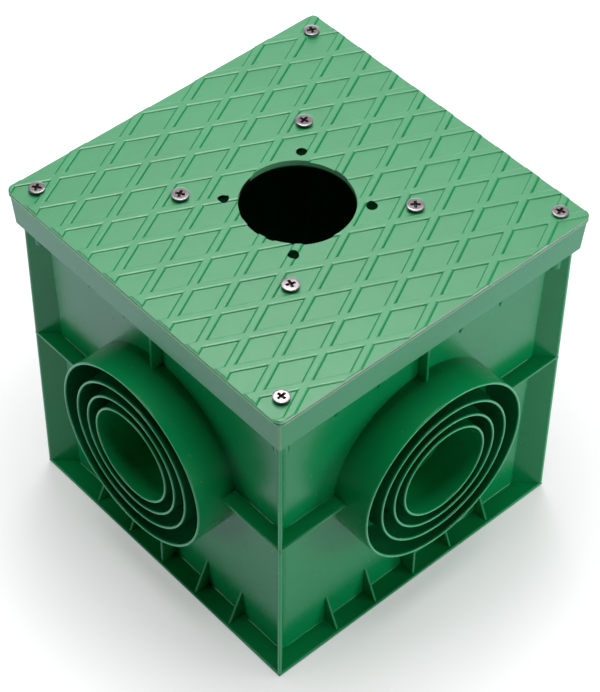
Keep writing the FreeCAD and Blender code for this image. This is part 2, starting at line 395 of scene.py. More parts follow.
def to_object(name: str, part: BMesh, material: bpy.types.Material) -> bpy.types.Object:
    """Make a scene object of a mesh, at the origin, and free the mesh.

    Args:
        name: the object's name.
        part: the mesh that is used up.
        material: its finish.

    Returns:
        The new object.
    """
    mesh = bpy.data.meshes.new(name)
    part.to_mesh(mesh)
    part.free()
    mesh.materials.append(material)
    made = bpy.data.objects.new(name, mesh)
    bpy.context.scene.collection.objects.link(made)
    return made


def carve(part: BMesh, tool: BMesh, left: Carving) -> BMesh:
    """Carve one closed mesh by another and free both.

    Args:
        part: the mesh to carve.
        tool: the closed mesh that carves it.
        left: the part that stays.

    Returns:
        The carved mesh.
    """
    holders = []
    for label, source in (("carved", part), ("carver", tool)):
        mesh = bpy.data.meshes.new(label)
        source.to_mesh(mesh)
        source.free()
        holder = bpy.data.objects.new(label, mesh)
        bpy.context.scene.collection.objects.link(holder)
        holders.append(holder)
    carved, carver = holders
    modifier = carved.modifiers.new("carve", "BOOLEAN")
    modifier.operation = left.value
    modifier.solver = "EXACT"
    modifier.object = carver
    bpy.context.view_layer.update()
    result = bmesh.new()
    result.from_object(carved, bpy.context.evaluated_depsgraph_get())
    for holder in holders:
        mesh = holder.data
        bpy.data.objects.remove(holder)
        bpy.data.meshes.remove(mesh)
    return result


# Finishes


@dataclass
class Graph:
    """A node tree with short ways to add and join nodes."""

    tree: bpy.types.NodeTree

    def add(self, kind: str, **inputs: float) -> bpy.types.Node:
        """Add a node.

        Args:
            kind: the node's type.
            inputs: the inputs to set, with underscores for spaces.

        Returns:
            The node.
        """
        node = self.tree.nodes.new(kind)
        for name, value in inputs.items():
            node.inputs[name.replace("_", " ")].default_value = value
        return node

    def join(self, source: Socket, target: Socket) -> None:
        """Link an output to an input."""
        self.tree.links.new(source, target)

    def combine(self, operation: Operation, first: Socket, second: Socket) -> Socket:
        """Work out a value from two others.

        Args:
            operation: what is done with them.
            first: the one value.
            second: the other value.

        Returns:
            The output socket.
        """
        node = self.add("ShaderNodeMath")
        node.operation = operation.value
        self.join(first, node.inputs[0])
        self.join(second, node.inputs[1])
        return node.outputs["Value"]

    def ramp(self, source: Socket, given: Range, wanted: Range) -> Socket:
        """Carry a value from one range to another.

        Args:
            source: the value.
            given: the range that it has.
            wanted: the range that it gets.

        Returns:
            The output socket.
        """
        (low, high), (to_low, to_high) = given, wanted
        node = self.add("ShaderNodeMapRange", From_Min=low, From_Max=high, To_Min=to_low, To_Max=to_high)
        self.join(source, node.inputs["Value"])
        return node.outputs["Result"]

    def blend(self, factor: Socket, first: Socket | Colour, second: Socket | Colour) -> Socket:
        """Mix two colours, each a socket or a plain colour.

        Args:
            factor: 0 for the first and 1 for the second.
            first: the one colour.
            second: the other colour.

        Returns:
            The output socket.
        """
        node = self.add("ShaderNodeMix")
        node.data_type = "RGBA"
        self.join(factor, node.inputs[0])
        for socket, value in ((node.inputs[6], first), (node.inputs[7], second)):
            if isinstance(value, Socket):
                self.join(value, socket)
            else:
                socket.default_value = (*value, 1.0)
        return node.outputs[2]

    def marked(self, name: Mark) -> Socket:
        """Read a mark of the faces.

        Args:
            name: which mark it is.

        Returns:
            The output socket.
        """
        node = self.add("ShaderNodeAttribute")
        node.attribute_name = name.value
        return node.outputs["Fac"]


@dataclass(frozen=True)
class Noise:
    """One noise pattern: its scale, its detail and, if not all of it shows, the range that does."""

    scale: float
    detail: float
    shown: Optional[Range] = None


@dataclass(frozen=True)
class MouldedGrain:
    """The shared surface effect: cloudiness, scuffs, dust and a fine grain."""

    name: str = "moulded_grain"
    cloud: Noise = Noise(22.0, 3.0, (0.32, 0.68))
    scuff: Noise = Noise(160.0, 4.0, (0.45, 0.8))
    dust: Noise = Noise(700.0, 1.0, (0.74, 0.80))
    height: Noise = Noise(1500.0, 2.0)
    roughness: float = 0.55

    def build(self) -> bpy.types.NodeTree:
        """Make the node group, once.

        Returns:
            A group with the outputs Cloud, Scuff, Dust and Height, each with an input of the
            same name that it is multiplied by.
        """
        known = bpy.data.node_groups.get(self.name)
        if known:
            return known
        tree = bpy.data.node_groups.new(self.name, "ShaderNodeTree")
        graph = Graph(tree)
        entry = graph.add("NodeGroupInput")
        leave = graph.add("NodeGroupOutput")
        place = graph.add("ShaderNodeTexCoord").outputs["Object"]
        patterns = {"Cloud": self.cloud, "Scuff": self.scuff, "Dust": self.dust, "Height": self.height}
        for label, pattern in patterns.items():
            share = tree.interface.new_socket(label, in_out="INPUT", socket_type="NodeSocketFloat")
            share.default_value = 1.0
            tree.interface.new_socket(label, in_out="OUTPUT", socket_type="NodeSocketFloat")
            noise = graph.add(
                "ShaderNodeTexNoise",
                Scale=pattern.scale,
                Detail=pattern.detail,
                Roughness=self.roughness,
            )
            graph.join(place, noise.inputs["Vector"])
            value = noise.outputs["Fac"]
            if pattern.shown:
                value = graph.ramp(value, pattern.shown, UNIT)
            scaled = graph.combine(Operation.PRODUCT, value, entry.outputs[label])
            graph.join(scaled, leave.inputs[label])
        return tree


class Skin:
    """A new material with a principled shader over the moulded grain."""

    def __init__(self, name: str) -> None:
        """Make the material and its first nodes.

        Args:
            name: the material's name.
        """
        self.material = bpy.data.materials.new(name)
        self.material.use_nodes = True
        self.graph = Graph(self.material.node_tree)
        self.shader = self.material.node_tree.nodes["Principled BSDF"]
        self.grain = self.graph.add("ShaderNodeGroup")
        self.grain.node_tree = MouldedGrain().build()

    def surface(self, roughness: Range, strength: float, depth: float) -> None:
        """Let scuffs change the roughness and the grain bend the normal.

        Args:
            roughness: the roughness without scuffs and with them.
            strength: how much of the bump shows.
            depth: how deep the grain is.
        """
        rough = self.graph.ramp(self.grain.outputs["Scuff"], UNIT, roughness)
        self.graph.join(rough, self.shader.inputs["Roughness"])
        bump = self.graph.add("ShaderNodeBump", Strength=strength, Distance=depth)
        self.graph.join(self.grain.outputs["Height"], bump.inputs["Height"])
        self.graph.join(bump.outputs["Normal"], self.shader.inputs["Normal"])


@dataclass(frozen=True)
class GreenPlastic:
    """Glossy green moulded polypropylene, with the colours that its marked faces take: painted highlights,
    a painted glow and painted shade.
    """

    name: str
    colour: Colour = (0.0022, 0.290, 0.085)
    cloud: Colour = (0.0035, 0.265, 0.078)
    dust: Colour = (0.15, 0.45, 0.25)
    # The next four colours paint a highlight, a paler highlight, a glow and shade on marked faces.
    light: Colour = (0.07, 0.55, 0.24)
    pale: Colour = (0.30, 0.50, 0.24)
    glow: Colour = (0.14, 0.75, 0.03)
    painted_shade: Colour = (0.003, 0.006, 0.004)
    roughness: float = 0.22
    scuff_roughness: float = 0.08
    specular: float = 0.5
    index: float = 1.49
    grain: float = 1.0
    grain_depth: float = 0.04 * MM
    dust_share: float = 0.04

    def build(self) -> bpy.types.Material:
        """Make the material.

        Returns:
            The material.
        """
        skin = Skin(self.name)
        graph, grain = skin.graph, skin.grain
        skin.shader.inputs["IOR"].default_value = self.index
        skin.shader.inputs["Specular IOR Level"].default_value = self.specular
        grain.inputs["Height"].default_value = self.grain
        grain.inputs["Dust"].default_value = self.dust_share
        shown = graph.blend(grain.outputs["Cloud"], self.colour, self.cloud)
        shown = graph.blend(grain.outputs["Dust"], shown, self.dust)
        # Painted highlights, glow and shade from the face marks.
        shown = graph.blend(graph.marked(Mark.LIGHT), shown, self.light)
        shown = graph.blend(graph.marked(Mark.PALE), shown, self.pale)
        shown = graph.blend(graph.marked(Mark.GLOW), shown, self.glow)
        shown = graph.blend(graph.marked(Mark.GRIME_AND_SHADE), shown, self.painted_shade)
        graph.join(shown, skin.shader.inputs["Base Color"])
        skin.surface((self.roughness, self.roughness + self.scuff_roughness), 1.0, self.grain_depth)
        return skin.material


@dataclass(frozen=True)
class ZincPlate:
    """Bright zinc plate with stains, and brown grime on the faces marked so."""

    name: str = "zinc_plate"
    colour: Colour = (0.40, 0.37, 0.39)
    stain: Colour = (0.22, 0.185, 0.20)
    grime: Colour = (0.045, 0.022, 0.012)
    stain_from: Range = (0.1, 0.7)
    stain_share: Range = (0.0, 0.8)
    roughness: float = 0.16
    scuff_roughness: float = 0.2
    metallic: float = 0.55
    grain_share: float = 0.6
    grain_depth: float = 0.04 * MM

    def build(self) -> bpy.types.Material:
        """Make the material.

        Returns:
            The material.
        """
        skin = Skin(self.name)
        graph = skin.graph
        dirty = graph.marked(Mark.GRIME_AND_SHADE)
        stains = graph.ramp(skin.grain.outputs["Scuff"], self.stain_from, self.stain_share)
        shown = graph.blend(stains, self.colour, self.stain)
        graph.join(graph.blend(dirty, shown, self.grime), skin.shader.inputs["Base Color"])
        graph.join(graph.ramp(dirty, UNIT, (self.metallic, 0.0)), skin.shader.inputs["Metallic"])
        rough = (self.roughness, self.roughness + self.scuff_roughness)
        skin.surface(rough, self.grain_share, self.grain_depth)
        return skin.material


# Pieces


@dataclass
class Piece:
    """One piece of the object: its name, the node it stands for and its slot."""

    name: str
    node: str
    slot: Slot
    material: bpy.types.Material

    def seat(self, mesh: BMesh) -> bpy.types.Object:
        """Put a finished mesh in the scene in place of the CAD node.

        Args:
            mesh: the finished mesh, used up here.

        Returns:
            The new object.
        """
        made = to_object(self.name, mesh, self.material)
        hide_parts(self.node)
        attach(made, "root")
        LOG.info("%s: %d faces", self.name, len(made.data.polygons))
        return made


@dataclass
class Chamber(Piece):
    """The moulded chamber: panels, flanges, ribs, fins, sockets and screw bosses."""

    half: float = 116.25 * MM
    height: float = CHAMBER_TOP
    panel_base: float = 103.0 * MM
    panel_slope: float = math.tan(math.radians(1.24))
    panel_wall: float = 2.5 * MM
    panel_corner: float = 4.0 * MM
    panel_corner_steps: int = 5
    flange: float = 2.5 * MM
    rib_top: float = 127.6 * MM
    fin: float = 2.5 * MM
    fin_root: float = 1.5 * MM
    gusset_height: float = 24.5 * MM
    gusset_thickness: float = 1.8 * MM
    setback: float = 1.8 * MM
    upright: float = 2.0 * MM
    bores: tuple[float, ...] = (62.6 * MM, 50.1 * MM, 40.1 * MM, 31.6 * MM)
    socket_wall: float = 1.8 * MM
    socket_axis: float = 123.5 * MM
    socket_rim: float = 134.1 * MM
    socket_steps: int = 120
    boss_radius: float = 4.6 * MM
    boss_bore: float = 2.5 * MM
    boss_depth: float = 16.5 * MM
    edge: float = 0.7 * MM
    edge_steps: int = 3
    thin_edge: float = 0.5 * MM
    rim_edge: float = 0.85 * MM
    rim_steps: int = 4
    fillet: float = 0.7 * MM
    fillet_steps: int = 4
    # Shares of the painted highlights on edges and rims and of the painted shade between sockets.
    lit_edge: float = 0.5
    lit_rim: float = 1.0
    gap_shade: float = 0.4

    def panel(self, height: float) -> float:
        """Return half the width over the panels at a height."""
        return self.panel_base + self.panel_slope * height

    @property
    def foot(self) -> float:
        """Half the width over the gussets' feet."""
        return self.half - self.setback

    @property
    def bury(self) -> float:
        """How deep one solid is sunk in the next."""
        return self.panel_wall / 2

    @property
    def reach(self) -> float:
        """How far the ribs stop from the sockets' axis."""
        return self.bores[0] + self.socket_wall / 2

    def sink_root(self, part: BMesh, limit: float) -> None:
        """Sink the inner end of a part of the +X side in the leaning panel.

        Args:
            part: the mesh to change.
            limit: the corners up to this X are the inner end.
        """
        for vert in part.verts:
            if vert.co.x < limit + TINY:
                vert.co.x = self.panel(vert.co.z) - self.bury

    def panels(self) -> BMesh:
        """Make the four leaning panels.

        Returns:
            The new mesh.
        """
        inner = self.panel_base - self.panel_wall
        walls = square_ring(self.panel_base, inner, self.flange / 2, self.height)
        for vert in walls.verts:
            lean_out(vert, self.panel_slope * vert.co.z)
        corners = outer_corners(walls)
        round_edges(walls, self.panel_corner, lambda e: e in corners, self.panel_corner_steps)
        round_edges(walls, self.thin_edge, is_level)
        return walls

    def base(self) -> BMesh:
        """Make the floor and base flange, with a painted highlight on its top edge.

        Returns:
            The new mesh.
        """
        plate = box((-self.half, -self.half, 0), (self.half, self.half, self.flange))
        round_edges(plate, self.edge, is_level, self.edge_steps)
        flat_half = self.half - self.edge
        # Painted highlight on the rounded top edge.
        mark(
            plate,
            Mark.LIGHT,
            self.lit_edge,
            lambda f: f.normal.z > LITTLE and half_at(f.calc_center_median()) > flat_half,
        )
        return plate

    def round_flange(self, ring: BMesh) -> None:
        """Round the outer edges of a flange."""
        round_edges(ring, self.edge, lambda e: lies_at(e, self.half) and is_level(e), self.edge_steps)

    def upper_flange(self) -> BMesh:
        """Make the flange that the cover frame stands on.

        Returns:
            The new mesh.
        """
        inner = self.panel(self.height) - self.bury
        ring = square_ring(self.half, inner, self.height - self.flange, self.height)
        self.round_flange(ring)
        return ring

    def mid_rib(self) -> BMesh:
        """Make the mid-height rib, broken by the sockets.

        Returns:
            The new mesh.
        """
        low = self.rib_top - self.flange
        ring = square_ring(self.half, self.panel(low) - self.bury, low, self.rib_top)
        for normal in (Axis.X.value, Axis.Y.value):
            for side in (-self.reach, self.reach):
                slice_at(ring, normal * side, normal)
        gone = []
        for face in ring.faces:
            centre = face.calc_center_median()
            if min(abs(centre.x), abs(centre.y)) < self.reach - TINY:
                gone.append(face)
        bmesh.ops.delete(ring, geom=gone, context="FACES")
        rims = [e for e in ring.edges if e.is_boundary]
        bmesh.ops.holes_fill(ring, edges=rims, sides=0)
        bmesh.ops.recalc_face_normals(ring, faces=ring.faces[:])
        self.round_flange(ring)
        return ring

    def corner_fin(self) -> BMesh:
        """Make the fin on the +X +Y corner, with a painted highlight on its edge.

        Returns:
            The new mesh.
        """
        reach = self.half * math.sqrt(2)
        thick = self.fin / 2
        fin = box((0, -thick, self.flange / 2), (reach, thick, self.height - self.flange / 2))
        for vert in fin.verts:
            if vert.co.x < TINY:
                vert.co.x = (self.panel(vert.co.z) - self.fin_root) * math.sqrt(2)
        turn = Matrix.Rotation(QUARTER / 2, 3, "Z")
        bmesh.ops.rotate(fin, cent=(0, 0, 0), matrix=turn, verts=fin.verts[:])
        for normal in (Axis.X.value, Axis.Y.value):
            rim = slice_at(fin, normal * self.half, normal, clear=True)
            bmesh.ops.holes_fill(fin, edges=rim, sides=0)
        round_edges(fin, self.thin_edge, lambda e: is_upright(e) and lies_at(e, self.half))
        # Painted highlight on the fin's outer edge.
        mark(fin, Mark.LIGHT, self.lit_edge, lambda f: f.normal.x > MOSTLY)
        return fin

    def seam_fillet(self, height: float, start: float, end: float) -> BMesh:
        """Make the small hollow fillet where a flange meets the panel of the +X side.

        Args:
            height: the top of the flange.
            start: where it starts along the side.
            end: where it ends.

        Returns:
            The new mesh.
        """
        root = self.panel(height)
        sunk = root - self.bury
        arc = [(sunk, height - self.fillet), (root + self.fillet, height - self.fillet)]
        for step in range(self.fillet_steps + 1):
            angle = step / self.fillet_steps * QUARTER
            out = root + self.fillet * (1 - math.sin(angle))
            arc.append((out, height + self.fillet * (1 - math.cos(angle))))
        arc.append((sunk, height + self.fillet))
        strip = prism([(x, start, z) for x, z in arc], (0, end - start, 0))
        for face in strip.faces:
            face.smooth = abs(face.normal.x) > LITTLE and abs(face.normal.z) > LITTLE
        return strip

    def gusset(self, y: float, flange: float, way: int) -> BMesh:
        """Make one gusset of the +X side.

        Args:
            y: its place along the side.
            flange: the height of the flange face that it stands on.
            way: 1 up or -1 down.

        Returns:
            The new mesh.
        """
        tip = flange + way * self.gusset_height
        buried = flange - way * self.flange / 2
        start = y - self.gusset_thickness / 2
        outline = (
            (self.panel(buried) - self.bury, start, buried),
            (self.foot, start, buried),
            (self.foot, start, flange),
            (self.panel(tip), start, tip),
            (self.panel(tip) - self.bury, start, tip + way * self.bury),
        )
        part = prism(outline, (0, self.gusset_thickness, 0))
        round_edges(
            part, self.thin_edge, lambda e: all(v.co.x > self.panel(v.co.z) - TINY for v in e.verts)
        )
        return part

    def upright_rib(self, low: float, high: float) -> BMesh:
        """Make an upright rib of the +X side.

        Args:
            low: the height of its bottom.
            high: the height of its top.

        Returns:
            The new mesh.
        """
        thick = self.upright / 2
        rib = box((0, -thick, low), (self.foot, thick, high))
        self.sink_root(rib, 0.0)
        front = self.foot - TINY
        round_edges(rib, self.thin_edge, lambda e: is_upright(e) and e.verts[0].co.x > front)
        return rib

    def faces_gap(self, face: BMFace, bore: float) -> bool:
        """Tell whether a face of a socket on the Z axis looks into a gap between two sockets.

        Args:
            face: the face.
            bore: the socket's inner radius.

        Returns:
            True where it does.
        """
        centre = face.calc_center_median()
        outward = face.normal.x * centre.x + face.normal.y * centre.y > 0
        has_next = bore < self.bores[0] if outward else bore > self.bores[-1]
        return abs(face.normal.z) < LITTLE and has_next

    def socket(self, bore: float) -> BMesh:
        """Make one socket of the +X side, its rim rounded, with a painted highlight on the rim and painted
        shade on the walls that face a gap.

        Args:
            bore: its inner radius.

        Returns:
            The new mesh.
        """
        outer = bore + self.socket_wall
        ring = tube(outer, bore, self.panel_base, self.socket_rim, self.socket_steps)
        rim = self.socket_rim - TINY
        round_edges(ring, self.rim_edge, lambda e: all(v.co.z > rim for v in e.verts), self.rim_steps)
        # Painted highlight on the rim's crest.
        mark(ring, Mark.LIGHT, self.lit_rim, lambda f: f.normal.z > MOSTLY)
        # Painted shade on the walls between two sockets.
        mark(ring, Mark.GRIME_AND_SHADE, self.gap_shade, lambda f: self.faces_gap(f, bore))
        turn = Matrix.Translation((0, 0, self.socket_axis)) @ Matrix.Rotation(QUARTER, 4, "Y")
        bmesh.ops.transform(ring, matrix=turn, verts=ring.verts[:])
        self.sink_root(ring, self.panel_base)
        return ring

    def build(self) -> bpy.types.Object:
        """Build the chamber and put it in the scene.

        Returns:
            The new object.
        """
        whole = self.panels()
        fold_in(whole, self.base())
        fold_in(whole, self.upper_flange())
        fold_in(whole, self.mid_rib())
        on_four_sides(whole, self.corner_fin())
        long = self.panel(0) - self.panel_corner
        on_four_sides(whole, self.seam_fillet(self.flange, -long, long))
        for start, end in ((-long, -self.bores[0]), (self.bores[0], long)):
            on_four_sides(whole, self.seam_fillet(self.rib_top, start, end))
        for step in (-2, -1, 1, 2):
            y = step * RIB_PITCH
            on_four_sides(whole, self.gusset(y, self.flange, 1))
            on_four_sides(whole, self.gusset(y, self.height - self.flange, -1))
        top = self.height - self.flange / 2
        on_four_sides(whole, self.upright_rib(self.flange / 2, self.socket_axis - self.reach))
        on_four_sides(whole, self.upright_rib(self.socket_axis + self.reach, top))
        for bore in self.bores:
            on_four_sides(whole, self.socket(bore))
        boss_low = self.height - self.flange - self.boss_depth
        on_four_corners(whole, tube(self.boss_radius, self.boss_bore, boss_low, top), CORNER_SCREWS)
        return self.seat(whole)


@dataclass
class CoverFrame(Piece):
    """The frame on the upper flange: leaning skirt, seat, inner wall, webs and posts."""

    floor: float = CHAMBER_TOP
    top: float = FRAME_TOP
    skirt_bottom: float = 222.9 * MM
    foot_half: float = 119.6 * MM
    top_half: float = 121.0 * MM
    corner: float = 1.2 * MM
    corner_steps: int = 3
    wall: float = 2.2 * MM
    seat_thickness: float = 2.5 * MM
    opening: float = 98.0 * MM
    slit: float = 0.6 * MM
    web: float = 1.8 * MM
    web_drop: float = 3.0 * MM
    post_radius: float = 5.0 * MM
    post_bore: float = 2.75 * MM
    edge: float = 0.5 * MM
    slant: float = 0.15
    # Share of the painted highlight on the rounded corners.
    pale_highlight: float = 0.6

    def skirt(self) -> BMesh:
        """Make the leaning outer wall, with a painted highlight down its rounded corners.

        Returns:
            The new mesh.
        """
        high = self.top - self.slit
        wall = square_ring(self.foot_half, self.foot_half - self.wall, self.skirt_bottom, high)
        for vert in wall.verts:
            if vert.co.z > self.floor:
                lean_out(vert, self.top_half - self.foot_half)
        corners = outer_corners(wall)
        round_edges(wall, self.corner, lambda e: e in corners, self.corner_steps)
        # Painted highlight down the rounded corners.
        mark(wall, Mark.PALE, self.pale_highlight, lambda f: abs(f.normal.x * f.normal.y) > self.slant)
        round_edges(wall, self.edge, is_level)
        return wall

    def build(self) -> bpy.types.Object:
        """Build the frame and put it in the scene.

        Returns:
            The new object.
        """
        whole = self.skirt()
        inner = self.opening + self.wall
        outer = self.foot_half - self.wall / 2
        middle = self.floor + self.seat_thickness / 2
        fold_in(whole, square_ring(outer, self.opening, self.floor, self.floor + self.seat_thickness))
        fold_in(whole, square_ring(inner, self.opening, middle, self.top))
        for step in range(-2, 3):
            y = step * RIB_PITCH
            low = (inner - self.wall / 2, y - self.web / 2, middle)
            high = (outer, y + self.web / 2, self.top - self.web_drop)
            on_four_sides(whole, box(low, high))
        on_four_corners(whole, tube(self.post_radius, self.post_bore, middle, self.top), CORNER_SCREWS)
        return self.seat(whole)


@dataclass
class LatticeLid(Piece):
    """The lid plate: raised diamond lattice, side groove, centre hole, tap and screw holes.

    The lattice's profile gives, from a band's middle outward, how far out a fold lies and how
    deep it is. The last fold is the edge of the recess floor.
    """

    half: float = 122.5 * MM
    bottom: float = FRAME_TOP
    top: float = LID_TOP
    corner: float = 5.0 * MM
    corner_steps: int = 8
    rim_edge: float = 0.9 * MM
    rim_steps: int = 3
    pitch_x: float = 24.5 * MM
    pitch_y: float = 49.0 * MM
    shift_y: float = 5.4 * MM
    profile_mm: tuple[Range, ...] = (
        (1.4, 0.0),
        (1.8, 0.05),
        (2.15, 0.16),
        (2.45, 0.33),
        (2.62, 0.52),
        (2.8, 0.88),
        (2.94, 1.0),
        (3.1, 1.04),
    )
    groove_top: float = 2.2 * MM
    groove_height: float = 0.55 * MM
    groove_depth: float = 1.2 * MM
    groove_bevel: float = 0.1 * MM
    strip_height: float = 0.8 * MM
    centre_hole: float = 35.25 * MM
    centre_steps: int = 96
    tap_place: float = 31.0 * MM
    tap_hole: float = 3.5 * MM
    screw_hole: float = 2.75 * MM
    hole_steps: int = 24
    margin: float = 6.0 * MM
    near: float = 1.0 * MM
    lip_rise: float = 0.6
    # Shares of the painted highlights, the painted glow and the painted shade of the marked faces.
    pale_highlight: float = 0.7
    lit: float = 1.0
    hole_highlight: float = 0.3
    hole_shade: float = 0.6

    def cell(self) -> BMesh:
        """Make one diamond of the lattice: its recess floor, walls and halves of the bands.

        Returns:
            The new mesh, faces up.
        """
        part = bmesh.new()
        bmesh.ops.create_circle(part, cap_ends=True, radius=1.0, segments=4)
        for vert in part.verts:
            vert.co.x *= self.pitch_x / 2
            vert.co.y *= self.pitch_y / 2
        floor = part.faces[:]
        reached = 0.0
        sunk = 0.0
        for out, down in self.profile_mm:
            bmesh.ops.inset_region(
                part, faces=floor, thickness=out * MM - reached, use_even_offset=True, use_boundary=True
            )
            bmesh.ops.translate(part, vec=(0, 0, sunk - down * MM), verts=floor[0].verts[:])
            reached, sunk = out * MM, down * MM
        bmesh.ops.recalc_face_normals(part, faces=part.faces[:])
        if floor[0].normal.z < 0:
            bmesh.ops.reverse_faces(part, faces=part.faces[:])
        return part

    def lattice(self) -> BMesh:
        """Make a plate larger than the lid, with the lattice on its top.

        Returns:
            The new closed mesh.
        """
        cell = self.cell()
        plate = bmesh.new()
        half_x, half_y = self.pitch_x / 2, self.pitch_y / 2
        columns = 2 * (int(self.half / self.pitch_x) + 2)
        rows = 2 * (int(self.half / self.pitch_y) + 2)
        for column in range(-columns, columns + 1):
            for row in range(-rows, rows + 1):
                x = column * half_x
                y = self.shift_y + row * half_y
                near = abs(x) < self.half + half_x and abs(y) < self.half + half_y
                if (column + row) % 2 == 0 and near:
                    fold_in(plate, copy_of(cell, Matrix.Translation((x, y, self.top))))
        cell.free()
        bmesh.ops.remove_doubles(plate, verts=plate.verts[:], dist=TINY)
        for vert in extruded(plate):
            vert.co.z = self.bottom - self.margin
        bmesh.ops.recalc_face_normals(plate, faces=plate.faces[:])
        return plate

    @property
    def groove_roof(self) -> float:
        """The height of the side groove's upper edge."""
        return self.top - self.groove_top

    @property
    def groove_floor(self) -> float:
        """The height of the side groove's lower edge."""
        return self.groove_roof - self.groove_height

    def outline(self) -> BMesh:
        """Make the plate's outline as a block, its corners and top edge rounded and its side grooved.

        Returns:
            The new mesh.
        """
        block = box((-self.half, -self.half, self.bottom), (self.half, self.half, self.top))
        round_edges(block, self.corner, is_upright, self.corner_steps)
        base = self.bottom + TINY
        round_edges(block, self.rim_edge, lambda e: is_level(e) and e.verts[0].co.z > base, self.rim_steps)
        high = self.groove_roof - self.groove_bevel
        low = self.groove_floor + self.groove_bevel
        strip = self.groove_floor - self.strip_height
        for level in (self.groove_roof, high, low, self.groove_floor, strip):
            slice_at(block, (0, 0, level), Axis.Z.value)
        shrink = 1 - self.groove_depth / self.half
        for vert in block.verts:
            if low - TINY < vert.co.z < high + TINY:
                vert.co.x *= shrink
                vert.co.y *= shrink
        return block

    def inset_of(self, face: BMFace) -> float:
        """Tell how far inside the outline a face lies.

        Args:
            face: the face.

        Returns:
            The distance of its middle, up to the corner radius.
        """
        centre = face.calc_center_median()
        along = [max(abs(centre[axis]) - (self.half - self.corner), 0.0) for axis in (0, 1)]
        return self.corner - math.hypot(*along)

    def is_lip(self, face: BMFace) -> bool:
        """Tell whether a face lies on the side over the groove."""
        outside = self.inset_of(face) < self.rim_edge / 3 and abs(face.normal.z) < self.lip_rise
        return outside and face.calc_center_median().z > self.groove_roof

    def is_strip(self, face: BMFace) -> bool:
        """Tell whether a face lies in the strip under the groove.

        Args:
            face: the face.

        Returns:
            True where it does.
        """
        height = face.calc_center_median().z
        level = self.groove_floor - self.strip_height < height < self.groove_floor
        return level and self.inset_of(face) < TINY and abs(face.normal.z) < LITTLE

    def is_left_groove(self, face: BMFace) -> bool:
        """Tell whether a face lies in the groove on the -Y or -X side.

        Args:
            face: the face.

        Returns:
            True where it does.
        """
        centre = face.calc_center_median()
        level = self.groove_floor - TINY < centre.z < self.groove_roof + TINY
        return level and centre.x + centre.y < 0

    def is_hole(self, face: BMFace, central: bool) -> bool:
        """Tell whether a face is a wall of the centre hole, or else of another hole."""
        at_centre = face.calc_center_median().xy.length < self.centre_hole + 2 * self.near
        return abs(face.normal.z) < LITTLE and self.inset_of(face) > self.near and at_centre == central

    def mark_faces(self, plate: BMesh) -> None:
        """Mark painted highlights, glow and shade on the side, its groove and the walls of the holes.

        Args:
            plate: the finished plate.
        """

        def looks_left(face: BMFace) -> bool:
            """Tell whether a face looks to -Y or -X."""
            return face.normal.x + face.normal.y < 0

        # Painted highlight on the lip and the strip of the +X and +Y sides.
        mark(
            plate,
            Mark.PALE,
            self.pale_highlight,
            lambda f: (self.is_lip(f) or self.is_strip(f)) and not looks_left(f),
        )
        # Painted glow on the strip of the -Y and -X sides.
        mark(plate, Mark.GLOW, self.lit, lambda f: self.is_strip(f) and looks_left(f))
        # Painted highlight on the centre hole's wall.
        mark(plate, Mark.PALE, self.hole_highlight, lambda f: self.is_hole(f, True))
        mark(plate, Mark.LIGHT, self.lit, lambda f: self.is_hole(f, True))
        # Painted shade on the walls of the tap and screw holes.
        mark(plate, Mark.GRIME_AND_SHADE, self.hole_shade, lambda f: self.is_hole(f, False))
        # Painted shade in the groove of the -Y and -X sides.
        mark(plate, Mark.GRIME_AND_SHADE, 1.0, lambda f: self.is_left_groove(f) and not self.is_strip(f))

    def drill(self, radius: float, steps: int) -> BMesh:
        """Return the cylinder on the Z axis that a hole is cut with."""
        low, high = self.bottom - self.margin / 2, self.top + self.margin / 2
        return lathe(((0.0, low), (radius, low), (radius, high), (0.0, high)), steps)

    def build(self) -> bpy.types.Object:
        """Build the lid plate and put it in the scene.

        Returns:
            The new object.
        """
        drills = self.drill(self.centre_hole, self.centre_steps)
        on_four_corners(drills, self.drill(self.tap_hole, self.hole_steps), self.tap_place)
        for place in (CORNER_SCREWS, INNER_SCREWS):
            on_four_corners(drills, self.drill(self.screw_hole, self.hole_steps), place)
        plate = carve(self.lattice(), self.outline(), Carving.INSIDE)
        plate = carve(plate, drills, Carving.OUTSIDE)
        self.mark_faces(plate)
        return self.seat(plate)


